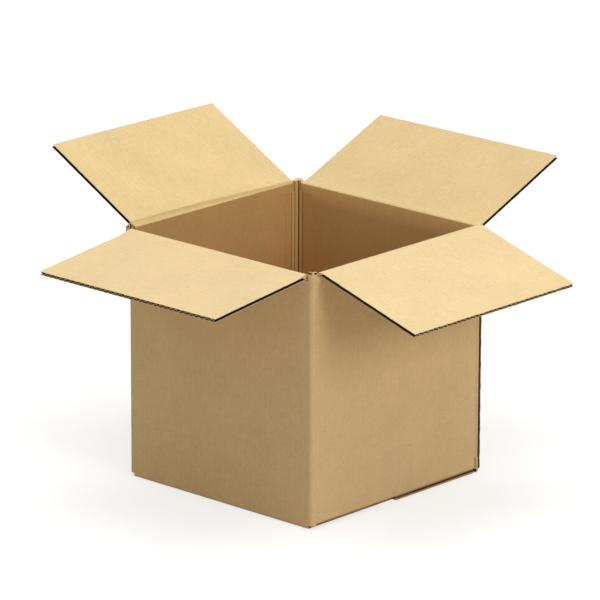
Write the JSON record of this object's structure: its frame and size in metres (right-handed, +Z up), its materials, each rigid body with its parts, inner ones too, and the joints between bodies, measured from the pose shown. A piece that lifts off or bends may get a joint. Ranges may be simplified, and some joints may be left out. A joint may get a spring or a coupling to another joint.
{
  "type": "open cardboard box",
  "caption": "Open cube carton of plain corrugated board with hinged top flaps, a glued side seam and a taped base.",
  "frame": {"origin": "centre of the underside, on the surface that the box stands on", "axes": "+Z up, -Y out of the front wall, +X out of the right wall, whose raw edge is glued over the tab"},
  "size_m": [0.5131, 0.5234, 0.3397],
  "materials": {
    "board": "matt kraft liner",
    "tape": "clear film"
  },
  "bodies": {
    "body": {"box_body": "board", "bottom_tape": "tape"},
    "front_flap": {"flap_front": "board"},
    "right_flap": {"flap_right": "board"},
    "back_flap": {"flap_back": "board"},
    "left_flap": {"flap_left": "board"}
  },
  "joints": [
    {"name": "front_crease", "type": "hinge", "parent": "body", "child": "front_flap", "pos_m": [0, -0.1338, 0.2668], "axis": [1, 0, 0], "range_deg": [-187, 82.5]},
    {"name": "right_crease", "type": "hinge", "parent": "body", "child": "right_flap", "pos_m": [0.1338, 0, 0.2712], "axis": [0, 1, 0], "range_deg": [-197, 72.5]},
    {"name": "back_crease", "type": "hinge", "parent": "body", "child": "back_flap", "pos_m": [0, 0.1338, 0.2668], "axis": [-1, 0, 0], "range_deg": [-157, 112.5]},
    {"name": "left_crease", "type": "hinge", "parent": "body", "child": "left_flap", "pos_m": [-0.1338, 0, 0.2712], "axis": [0, -1, 0], "range_deg": [-151, 118.5]}
  ]
}
